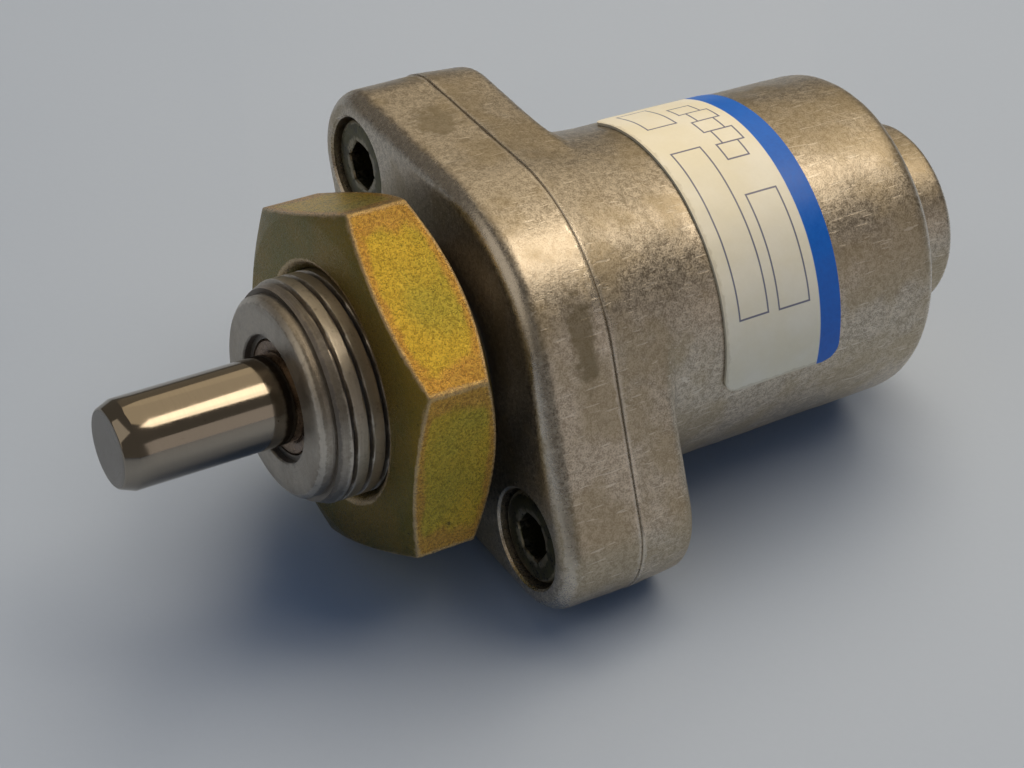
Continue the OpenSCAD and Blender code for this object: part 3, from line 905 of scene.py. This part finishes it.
def front_cap():
    """Flange cap with its register and threaded nose, one casting turned at the nose."""
    turn = columns_from_ears()

    def outline(inset):
        return flange_radius(turn, waist_r - inset, ear_r - inset)

    groove_r0, groove_r1, groove_x = seal_groove
    register = [(register_x, pocket_r), (register_x, register_r - register_chamfer),
                (register_x + register_chamfer, register_r), (seam_x, register_r), (seam_x, groove_r0),
                (groove_x, groove_r0), (groove_x, groove_r1), (seam_x, groove_r1)]
    skin = [(seam_x, outline(seam_chamfer))]
    skin += [(x, outline(0)) for x in (seam_x + 0.15, *np.arange(seam_x + cap_row, -front_round, cap_row))]
    skin += [(-front_round * (1 - math.sin(a)), outline(front_round * (1 - math.cos(a))))
             for a in quarter(11)]
    edge = outline(front_round)
    foot_r = root_r + foot_fillet
    face = [(0, edge + (foot_r - edge) * t) for t in cap_face_rows]
    nose = [(0, foot_r), (0.1, root_r + 0.1), (foot_fillet, root_r), (runout_l, root_r)]
    nose += even_rows(runout_l + 0.5, root_r, nose_x - nose_chamfer, root_r, 12)
    nose += [(nose_x - nose_chamfer, root_r), (nose_x - 0.35, root_r - 0.12),
             (nose_x - 0.1, root_r - nose_chamfer + 0.1), (nose_x, root_r - nose_chamfer - 0.1)]
    nose += [(nose_x, r) for r in nose_face_rows]
    nose += [(nose_x, mouth_r + mouth_chamfer), (nose_x - mouth_chamfer, mouth_r),
             (nose_x - mouth_depth, mouth_r), (nose_x - mouth_depth, bush_seat_r), (bush_x0, bush_seat_r),
             (bush_x0, rod_way_r), (pocket_x, rod_way_r), (pocket_x, pocket_r)]
    as_cast = 1 + len(skin) + len(face)
    slots = [1] * (len(register) - 1) + [0] * as_cast + [1] * len(nose)
    piece = turned_piece("cap_casting", register + with_lumps(skin, cap_seed) + face + nose, [ALLOY, NOSE],
                         columns=casting_columns, start=flange_turn, slots=slots)
    step, back_x = screw_x1 - head_h, seam_x - overrun
    open_r = counterbore_r + counterbore_chamfer
    bore = [(overrun, 0), (overrun, open_r), (0.05, open_r), (-0.2, counterbore_r), (step, counterbore_r),
            (step, screw_way_r), (back_x, screw_way_r), (back_x, 0)]
    return cut(piece, at_ears(bore, "counterbore"))


def from_screws(y, z):
    """Distance from the axis of the nearer screw."""
    ear = ear_line * ear_y
    return np.minimum(np.hypot(y - ear.y, z - ear.z), np.hypot(y + ear.y, z + ear.z))


def flank_spot(x, turn, degrees, half, middle_x, width):
    """A soft spot on the side of the flange."""
    gap = np.abs((turn - math.radians(degrees) + math.pi) % TURN - math.pi)
    return near(gap, half) * near(x - middle_x, width)


def store_casting_marks(piece, is_cap):
    """Stores how rubbed and marked each point of a casting is, and the painted shade with some dirt on it,
    from its place on the flange.
    """
    x, y, z, radius = places_of(piece)
    turn = np.arctan2(z, y) - flange_turn
    step = 0 if is_cap else ear_step
    inset = flange_radius(turn, waist_r + step, ear_r + step) - radius

    def by_ring(ring_x, ring_r, width):
        return near(np.hypot(x - ring_x, radius - ring_r), width)

    at_seam = near(np.hypot(x - seam_x, inset), 0.45)
    if is_cap:
        on_flank = (inset < 0.6) & (x < -front_round)
        at_front_edge = near(np.hypot(x + 0.45, inset - 0.45), 0.85)
        at_counterbores = near(np.hypot(x, from_screws(y, z) - counterbore_r), 0.35)
        wear = strongest(at_seam, at_front_edge, by_ring(nose_x - 0.25, root_r - 0.25, 0.35),
                         0.75 * at_counterbores, 0.8 * on_flank * flank_spot(x, turn, *rubbed_lip))
        mark = on_flank * strongest(*(flank_spot(x, turn, *spot) for spot in trim_marks))
        # Mostly painted shade, with some dirt: darker round the nose's foot, in the corner that the nut
        # shades, and at the bottom of the mouth
        at_nose_foot = near(np.hypot(np.minimum(x, 0), radius - root_r), 1.6) * (x < 1.9)
        shade_and_grime = strongest(at_nose_foot, by_ring(nose_x - mouth_depth, mouth_r, 0.8))
    else:
        wear = strongest(at_seam, 0.8 * by_ring(rear_x + 0.4, rear_r - 0.4, 0.8),
                         0.8 * by_ring(boss_x + 0.25, boss_r - 0.25, 0.6))
        mark = np.zeros(len(x))
        # Mostly painted shade, with some dirt: darker in the corner where the boss meets the rear wall
        shade_and_grime = by_ring(rear_x, boss_r + 0.6, 0.9)
    store(piece, "wear", wear)
    store(piece, "mark", mark)
    store(piece, "shade_and_grime", shade_and_grime)


def geometry_group(name, inputs, output):
    """A geometry node tree that gives its result the material named Finish."""
    return new_group("GeometryNodeTree", name, {**inputs, "Finish": MATERIAL}, [output], GEOMETRY)


def unit_tube(g, given, ends):
    """A tube along z, 1 long and of radius 1, and the three coordinates of its points."""
    tube = g.add("GeometryNodeMeshCylinder", {"Vertices": given["Round"], "Side Segments": given["Rows"],
                                              "Radius": 1.0, "Depth": 1.0}, fill_type=ends)
    return tube.outputs["Mesh"], g.split(g.add("GeometryNodeInputPosition").outputs[0])


def moved(g, mesh, x, y, z):
    """The mesh with its points at places given in millimetres."""
    place = g.joined(*(g.times(value, MM) for value in (x, y, z)))
    return g.add("GeometryNodeSetPosition", {"Geometry": mesh, "Position": place}).outputs[0]


def end_tree(g, given, out, geometry):
    """Ends a tree in real geometry with its material."""
    real = g.add("GeometryNodeRealizeInstances", {"Geometry": geometry}).outputs[0]
    done = g.add("GeometryNodeSetMaterial", {"Geometry": real, "Material": given["Finish"]}).outputs[0]
    g.feed(out.inputs[0], done)
    return g.tree


def helix_tree(name):
    """A tube along the axis whose radius rises and falls along a helix, as a thread does."""
    g, given, out = geometry_group(name, {
        "Radius": root_r, "Depth": 1.0, "Pitch": thread_pitch, "Start": 0.0, "End": 10.0, "Fade": 0.8,
        "Crest": 0.7, "Round": 192, "Rows": 100}, "Thread")
    tube, (across, up, lengthwise) = unit_tube(g, given, "NONE")
    length = g.minus(given["End"], given["Start"])
    along = g.times(g.plus(lengthwise, 0.5), length)
    turns = g.minus(g.over(along, given["Pitch"]), g.over(g.math("ARCTAN2", up, across), TURN))
    tooth = g.minus(1.0, g.math("ABSOLUTE", g.scaled(g.math("FRACT", turns), 2.0, -1.0)))
    height = g.between(tooth, thread_foot, g.plus(2 * thread_foot, g.minus(1.0, given["Crest"])))
    fade_in = g.over(along, given["Fade"], clamp=True)
    fade_out = g.over(g.minus(length, along), given["Fade"], clamp=True)
    height = g.times(height, g.times(fade_in, fade_out))
    radius = g.scaled(given["Depth"], height, given["Radius"])
    thread = moved(g, tube, g.plus(along, given["Start"]), g.times(radius, across), g.times(radius, up))
    return end_tree(g, given, out, thread)


def spring_tree(name):
    """A compression spring with closed ends, as a wire swept round the axis."""
    g, given, out = geometry_group(name, {
        "Coil Radius": coil_r, "Wire Radius": wire_r, "Start": 0.0, "End": 30.0, "Open Turns": open_turns,
        "Closed Turns": closed_turns, "Round": 16, "Rows": 480}, "Spring")
    tube, (outward, onward, lengthwise) = unit_tube(g, given, "NGON")
    wire = g.times(given["Wire Radius"], 2.0)
    closed = g.times(given["Closed Turns"], 2.0)
    turns = g.times(g.plus(lengthwise, 0.5), g.plus(given["Open Turns"], closed))
    first = g.math("MINIMUM", turns, given["Closed Turns"])
    past_first = g.minus(turns, given["Closed Turns"])
    middle = g.math("MINIMUM", g.math("MAXIMUM", past_first, 0.0), given["Open Turns"])
    last = g.math("MAXIMUM", g.minus(past_first, given["Open Turns"]), 0.0)
    free = g.minus(g.minus(g.minus(given["End"], given["Start"]), wire), g.times(closed, wire))
    along = g.times(g.plus(first, last), wire)
    along = g.plus(along, g.times(middle, g.over(free, given["Open Turns"])))
    along = g.plus(along, g.plus(given["Start"], given["Wire Radius"]))
    thin = g.times(given["Wire Radius"], wire_share)
    radius = g.scaled(thin, outward, given["Coil Radius"])
    angle = g.times(turns, TURN)
    spring = moved(g, tube, g.scaled(thin, onward, along), g.times(radius, g.math("COSINE", angle)),
                   g.times(radius, g.math("SINE", angle)))
    return end_tree(g, given, out, spring)


def row_tree(name):
    """Copies of one piece along a line."""
    g, given, out = geometry_group(
        name, {"Piece": GEOMETRY, "From": VECTOR, "Step": VECTOR, "Count": 2}, "Pieces")
    line = g.add("GeometryNodeMeshLine", {"Count": given["Count"], "Start Location": given["From"],
                                          "Offset": given["Step"]})
    copies = g.add("GeometryNodeInstanceOnPoints", {"Points": line.outputs[0], "Instance": given["Piece"]})
    return end_tree(g, given, out, copies.outputs[0])


def grown(name, tree, values, material, start_mesh=None, wall=0.0, sharp=sharp_angle):
    """A piece made by a node tree with these input values, as a plain mesh."""
    piece = linked(name, start_mesh or bpy.data.meshes.new(name))
    nodes = piece.modifiers.new("nodes", "NODES")
    nodes.node_group = tree
    identifiers = {socket.name: socket.identifier for socket in tree.interface.items_tree
                   if socket.in_out == "INPUT"}
    for socket, value in {**values, "Finish": material}.items():
        nodes[identifiers[socket]] = value
    if wall:
        solid = piece.modifiers.new("wall", "SOLIDIFY")
        solid.thickness = abs(wall) * MM
        solid.offset = -1 if wall > 0 else 1
    made_plain(piece)
    piece.name = piece.data.name = name
    finish_mesh(piece.data, sharp)
    return piece


def nut_rows(hexagon):
    """Profile of the nut, whose sides stand as far out as the hexagon."""
    out = hexagon - nut_face_r
    mouth = nut_bore_r + nut_countersink

    def end_rows(x, inwards, lean):
        """Rows of one end, from the bore over the face and its cone to near the middle of the sides."""
        drop = inwards * out * math.tan(lean)
        rows = [(x + inwards * nut_countersink, nut_bore_r), (x, mouth), (x, mouth + 0.4), (x, nut_face_r)]
        rows += [(x + drop * t, nut_face_r + out * t) for t in (0.5, 1)]
        return rows + [(x + drop + inwards * gap, hexagon) for gap in nut_edge_rows]

    return end_rows(nut_x0, 1, nut_rear_lean) + end_rows(nut_x1, -1, nut_front_lean)[::-1]


def store_nut_marks(piece):
    """Stores the nut's rubbed edges, the rims of its flats, and which points lie on the flats."""
    x, y, z, radius = places_of(piece)
    turn = np.arctan2(z, y) - flange_turn
    past_corner = turn % (math.pi / 3)
    corner_gap = np.minimum(past_corner, math.pi / 3 - past_corner) * radius
    hexagon = hexagon_r(nut_half_af, turn)
    on_side = near(radius - hexagon, 0.2)
    front_gap = nut_x1 - (hexagon - nut_face_r) * math.tan(nut_front_lean) - x
    rear_gap = x - nut_x0 - (hexagon - nut_face_r) * math.tan(nut_rear_lean)

    def edges(corner_width, end_width):
        ends = strongest(near(front_gap, end_width), near(rear_gap, end_width))
        return on_side * strongest(near(corner_gap, corner_width), ends)

    at_mouth = near(np.hypot(x - nut_x1, radius - nut_bore_r - nut_countersink), 0.3)
    store(piece, "wear", strongest(edges(0.4, 0.3), at_mouth))
    store(piece, "rim", edges(2.4, 1.0))
    store(piece, "sides", on_side * (front_gap > 0.1) * (rear_gap > 0.1))


def nut():
    """Hexagon nut with both chamfers cut as cones, so each flat ends in its curved edge."""
    columns = 360
    hexagon = hexagon_r(nut_half_af, TURN * np.arange(columns) / columns)
    piece = turned_piece("hexagon_nut", nut_rows(hexagon), [ZINC], columns=columns, sharp=25,
                         start=flange_turn)
    bevel = piece.modifiers.new("edges", "BEVEL")
    bevel.width = nut_edge * MM
    bevel.segments = 2
    bevel.limit_method = "ANGLE"
    bevel.angle_limit = math.radians(25)
    made_plain(piece)
    finish_mesh(piece.data, 50)
    store_nut_marks(piece)
    return piece


def rod():
    """Ground rod with its chamfered, faced-off tip and the stud that holds the piston."""
    tip_r = rod_r - tip_chamfer_r
    chamfer_x = rod_tip_x - tip_chamfer_l
    rows = [(rod_x0, 0), (rod_x0, stud_r - stud_chamfer), (rod_x0 + stud_chamfer, stud_r),
            (web_front_x, stud_r), (web_front_x, rod_r)]
    rows += even_rows(web_front_x + 0.5, rod_r, chamfer_x - tip_soft, rod_r, 40)
    rows += [(chamfer_x - tip_soft, rod_r), (chamfer_x, rod_r - 0.03), (chamfer_x + tip_soft, rod_r - 0.09),
             (rod_tip_x - 0.1, tip_r + 0.07), (rod_tip_x - 0.02, tip_r - 0.02), (rod_tip_x, tip_r - 0.1)]
    rows += [(rod_tip_x - tip_ring_h * (k % 2), (tip_r - 0.2) * (1 - k / tip_rings))
             for k in range(1, tip_rings)]
    rows += [(rod_tip_x, 0)]
    piece = turned_piece("ground_rod", rows, [CHROME], columns=160, sharp=30)
    x, _, _, radius = places_of(piece)
    store(piece, "face", (x > rod_tip_x - 0.06) & (radius < tip_r - 0.05))
    return piece


def bush():
    """Sintered bush with small lead chamfers at both ends."""
    inner, outer = rod_r + bush_play, bush_seat_r - bush_inset
    rows = [(bush_x0, inner), (bush_x0, outer - 0.3), (bush_x0 + 0.3, outer), (bush_x1 - 0.2, outer),
            (bush_x1, outer - 0.2), (bush_x1, inner + 0.35), (bush_x1 - 0.2, inner)]
    return turned_piece("sintered_bush", rows, [BRONZE])


def screw_body():
    """One socket-head screw along +x, with its head's seat at the origin."""
    columns = 96
    socket = hexagon_r(socket_half_af, TURN * np.arange(columns) / columns)
    length = screw_x1 - head_h - screw_x0
    socket_x = head_h - socket_depth
    rows = [(-length, 0), (-length, screw_r - screw_chamfer), (-length + screw_chamfer, screw_r),
            (0, screw_r), (0, head_r - 0.1), (0.1, head_r)]
    rows += even_rows(0.4, head_r, head_h - head_round, head_r, 4)
    rows += arc_rows(head_h - head_round, head_r - head_round, head_round, 90, 0, 4)
    rows += [(head_h, socket_face_r), (head_h, np.maximum(socket, socket_mouth_r) + 0.12),
             (head_h - 0.15, socket), (socket_x, socket), (socket_x - 0.5, drill_r), (socket_x - 0.7, 0)]
    return turned_piece("screw", rows, [SCREW], columns=columns, sharp=35)


def cap_screws():
    """Both cap screws, as one piece."""
    one = screw_body()
    ear = ear_line * ear_y
    first = Vector((screw_x1 - head_h, -ear.y, -ear.z)) * MM
    step = Vector((0, 2 * ear.y, 2 * ear.z)) * MM
    piece = grown("socket_screws", row_tree("screws at the ears"), {"From": first, "Step": step, "Count": 2},
                  SCREW, start_mesh=one.data, sharp=35)
    bpy.data.objects.remove(one)
    x, y, z, _ = places_of(piece)
    radius = from_screws(y, z)
    head_edge = near(np.hypot(x - screw_x1 + 0.12, radius - head_r + 0.12), 0.35)
    socket_edge = near(np.hypot(x - screw_x1, radius - socket_half_af * 1.1), 0.25)
    store(piece, "wear", strongest(head_edge, socket_edge))
    return piece


def threads():
    """Threads of the nose and of the air port, which the solids leave plain."""
    tree = helix_tree("thread along a tube")
    on_nose = grown("nose_thread", tree, {
        "Radius": thread_root_r, "Depth": nose_r - thread_root_r, "Start": runout_l - 0.3,
        "End": nose_x - lead_l + 0.1, "Fade": 1.1, "Crest": 0.8, "Rows": 150}, NOSE, wall=0.6)
    in_port = grown("port_thread", tree, {
        "Radius": port_r + port_thread_h - 0.05, "Depth": 0.08 - port_thread_h, "Pitch": port_pitch,
        "Start": boss_x + port_chamfer, "End": boss_x + port_depth - 0.5, "Fade": 0.5, "Crest": 0.3,
        "Round": 96, "Rows": 110}, NOSE, wall=-0.15)
    radius = places_of(on_nose)[3]
    store(on_nose, "wear", 0.8 * ramp(radius, nose_r - 0.2, nose_r))
    # Mostly painted shade, with some dirt: darker down in the thread's grooves
    store(on_nose, "shade_and_grime", 1 - ramp(radius, thread_root_r, thread_root_r + 0.3))
    return on_nose, in_port


def label():
    """Printed film that follows the barrel between the ears, with rounded corners.

    Its UV map is laid out in millimetres, for the print."""
    width = label_x1 - label_x0
    middle_r = barrel_r((label_x0 + label_x1) / 2)
    around = label_span * middle_r
    rows_v = np.concatenate([np.linspace(0, label_corner, label_corner_rows),
                             np.linspace(label_corner, around - label_corner, label_rows)[1:],
                             np.linspace(around - label_corner, around, label_corner_rows)[1:]])
    shares = np.linspace(0, 1, label_columns + 1)
    v, share = (grid.ravel() for grid in np.meshgrid(rows_v, shares, indexing="ij"))
    gap = np.minimum(np.minimum(v, around - v), label_corner)
    inset = label_corner - np.sqrt(np.maximum(0, label_corner ** 2 - (label_corner - gap) ** 2))
    u = inset + (width - 2 * inset) * share
    x = label_x1 - u
    angle = flange_turn - math.pi / 2 - label_span / 2 + v / middle_r

    def at_radius(radius):
        return np.stack([x, radius * np.cos(angle), radius * np.sin(angle)], 1)

    base_r = waist_back_r(x)
    verts = at_radius(base_r + lumpy(at_radius(base_r), housing_seed) + label_lift)
    numbers = np.arange(len(verts)).reshape(len(rows_v), len(shares))
    corners = (numbers[:-1, :-1], numbers[:-1, 1:], numbers[1:, 1:], numbers[1:, :-1])
    faces = np.stack([corner.ravel() for corner in corners], 1).tolist()
    piece = mesh_object("printed_film", verts, faces, [FILM], sharp=60)
    layer = piece.data.uv_layers.new(name="print")
    for loop in piece.data.loops:
        layer.data[loop.index].uv = u[loop.vertex_index], v[loop.vertex_index]
    store(piece, "wear", near(np.minimum(np.minimum(u - inset, width - inset - u), gap), 0.35))
    if piece.data.polygons[0].normal.dot(Vector((0, *verts[0, 1:]))) <= 0:
        piece.data.flip_normals()
    solid = piece.modifiers.new("film", "SOLIDIFY")
    solid.thickness = label_t * MM
    solid.offset = 1
    made_plain(piece)
    piece.data.set_sharp_from_angle(angle=math.radians(60))
    return piece


def place_piece(piece, body, slot, *nodes):
    """Puts a piece on its body and hides the nodes that it replaces. The slot of its material is not used."""
    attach(piece, body)
    if nodes:
        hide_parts(*nodes)


HOUSING = housing()
store_casting_marks(HOUSING, False)
CAP = front_cap()
store_casting_marks(CAP, True)
place_piece(HOUSING, "cylinder_body", "cast_alloy", "housing")
place_piece(CAP, "cylinder_body", "cast_alloy", "front_cap")
NUT = nut()
place_piece(NUT, "nut_body", "yellow_zinc", "mounting_nut")
place_piece(rod(), "rod_body", "chrome_rod", "piston_rod")
place_piece(bush(), "cylinder_body", "bronze", "rod_bush")
place_piece(cap_screws(), "cylinder_body", "dark_zinc", "cap_screws")
place_piece(label(), "cylinder_body", "label_film", "type_label")
for thread in threads():
    place_piece(thread, "cylinder_body", "cast_alloy")
spring = grown("return_coil", spring_tree("compression spring"), {"Start": spring_x0, "End": spring_x1}, WIRE)
place_piece(spring, "cylinder_body", "spring_wire", "return_spring")
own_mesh(spring)

# Inner pieces that stay as they are in the frame
for material, nodes in (
        (RUBBER, ("cap_seal", "front_buffer", "rear_buffer", "piston_seal", "stud_seal")),
        (PLAIN_STEEL, ("spring_seat", "piston_washer", "piston_nut")),
        (TURNED_ALLOY, ("piston",)), (GUIDE, ("guide_ring",))):
    for node in nodes:
        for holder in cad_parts[node].material_slots:
            holder.material = material


# Bench, camera and light
floor_normal = Vector((0.0495, 0.0357, 0.9981)).normalized()
bench_half = 1500.0
camera_place = Vector((92.905, 151.991, 125.191)) * MM
camera_aim = Vector((-6.29, 2.54, -4.24)) * MM
camera_roll = math.radians(3.78)
lens_mm = 86.51
sensor_mm = 36.0

# Lamps: name, direction from the cylinder, distance, width, height, watts and colour
lamps = (
    ("room", (-0.36, -0.32, 0.87), 800, 600, 600, 4.1, (1.0, 0.87, 0.68)),
    ("ceiling", (-0.40, -0.25, 0.88), 800, 950, 950, 1.7, (1.0, 0.83, 0.58)),
    ("window", (-0.42, 0.25, 0.87), 800, 450, 300, 1.35, (1.0, 0.86, 0.67)),
    ("front", (0.85, 0.0, 0.51), 800, 700, 700, 0.7, (1.0, 0.90, 0.76)),
    ("back", (-0.45, -0.72, 0.52), 900, 700, 700, 0.15, (1.0, 0.80, 0.50)),
    ("wall", (-0.45, 0.88, 0.16), 900, 600, 600, 0.45, (1.0, 0.90, 0.84)))
# The lamp that casts the main shadow and isn't mirrored by the metal
unmirrored_lamp = "room"

# World: its colour where it lights, where it is mirrored or seen, its strength, and what is added where seen
cool_room = (0.14, 0.50, 1.1)
warm_room = (0.82, 0.74, 0.64)
room_light = 0.14
backdrop_light = 0.5


def bench(height):
    """A plain pale bench top at a height along its normal, at the slope at which the cylinder lies on it."""
    half = bench_half * MM
    corners = [(-half, -half, 0), (half, -half, 0), (half, half, 0), (-half, half, 0)]
    mesh = bpy.data.meshes.new("bench")
    mesh.from_pydata(corners, [], [(0, 1, 2, 3)])
    mesh.materials.append(bench_finish())
    top = linked("bench", mesh)
    top.rotation_euler = floor_normal.to_track_quat("Z", "Y").to_euler()
    top.location = floor_normal * height


def lamp(name, direction, distance, width, height, power, colour):
    """A soft oblong lamp that looks at the cylinder from a direction."""
    light = bpy.data.lights.new(name, "AREA")
    light.shape = "RECTANGLE"
    light.size, light.size_y = width * MM, height * MM
    light.energy = power
    light.color = colour
    stand = linked(name, light)
    towards = Vector(direction).normalized()
    stand.location = camera_aim + towards * distance * MM
    stand.rotation_euler = towards.to_track_quat("Z", "Y").to_euler()
    stand.visible_glossy = name != unmirrored_lamp


def camera():
    """Camera at the photograph's viewing angle."""
    data = bpy.data.cameras.new("camera")
    data.lens = lens_mm
    data.sensor_width = sensor_mm
    data.clip_start = 0.01
    data.clip_end = 10
    view = linked("camera", data)
    aim = (camera_aim - camera_place).to_track_quat("-Z", "Y").to_matrix()
    turn = aim @ Matrix.Rotation(camera_roll, 3, "Z")
    view.matrix_world = Matrix.Translation(camera_place) @ turn.to_4x4()
    bpy.context.scene.camera = view


def surroundings():
    """Cool dim light from all round, and a warm room for the metal to mirror and the camera to see."""
    world = bpy.data.worlds.new("room")
    world.use_nodes = True
    g = Graph(world.node_tree)
    rays = g.add("ShaderNodeLightPath").outputs
    mirrored_or_seen = g.math("MAXIMUM", rays["Is Glossy Ray"], rays["Is Camera Ray"])
    sky = g.tree.nodes["Background"].inputs
    g.feed(sky["Color"], g.mix(mirrored_or_seen, cool_room, warm_room))
    g.feed(sky["Strength"], g.scaled(rays["Is Camera Ray"], backdrop_light, room_light))
    bpy.context.scene.world = world


bench(min(corner.co.dot(floor_normal) for piece in (HOUSING, CAP, NUT) for corner in piece.data.vertices))
camera()
surroundings()
for settings in lamps:
    lamp(*settings)
bpy.context.scene.view_settings.view_transform = "Standard"
